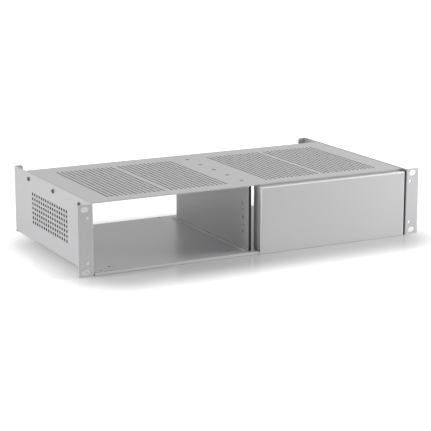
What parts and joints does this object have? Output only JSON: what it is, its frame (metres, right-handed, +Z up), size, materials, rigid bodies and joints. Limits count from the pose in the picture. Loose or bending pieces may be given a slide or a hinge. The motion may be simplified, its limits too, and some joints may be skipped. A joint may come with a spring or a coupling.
{
  "type": "rack mount adapter",
  "caption": "Folded sheet metal rack mount adapter with an open bay beside a bay closed by a blank panel, perforated top and side grilles, and slotted rack ears.",
  "frame": {"origin": "middle of the footprint, on the surface that the adapter stands on", "axes": "+X along the width towards the side with the blank panel, +Y from the front to the back, +Z up"},
  "size_m": [0.4826, 0.2616, 0.0881],
  "materials": {
    "painted_sheet": "satin",
    "fastener_steel": "satin",
    "edge_rubber": "matte"
  },
  "bodies": {
    "root": {"left_bracket": "painted_sheet", "right_bracket": "painted_sheet", "top_plate": "painted_sheet", "bottom_plate": "painted_sheet", "divider": "painted_sheet", "divider_edge_strip": "edge_rubber", "blank_panel": "painted_sheet", "top_screws": "fastener_steel", "top_nuts": "fastener_steel", "left_side_screws": "fastener_steel", "right_side_screws": "fastener_steel", "left_side_nuts": "fastener_steel", "right_side_nuts": "fastener_steel", "left_floor_screws": "fastener_steel", "right_floor_screws": "fastener_steel", "divider_floor_screws": "fastener_steel", "panel_screws": "fastener_steel"}
  },
  "joints": []
}
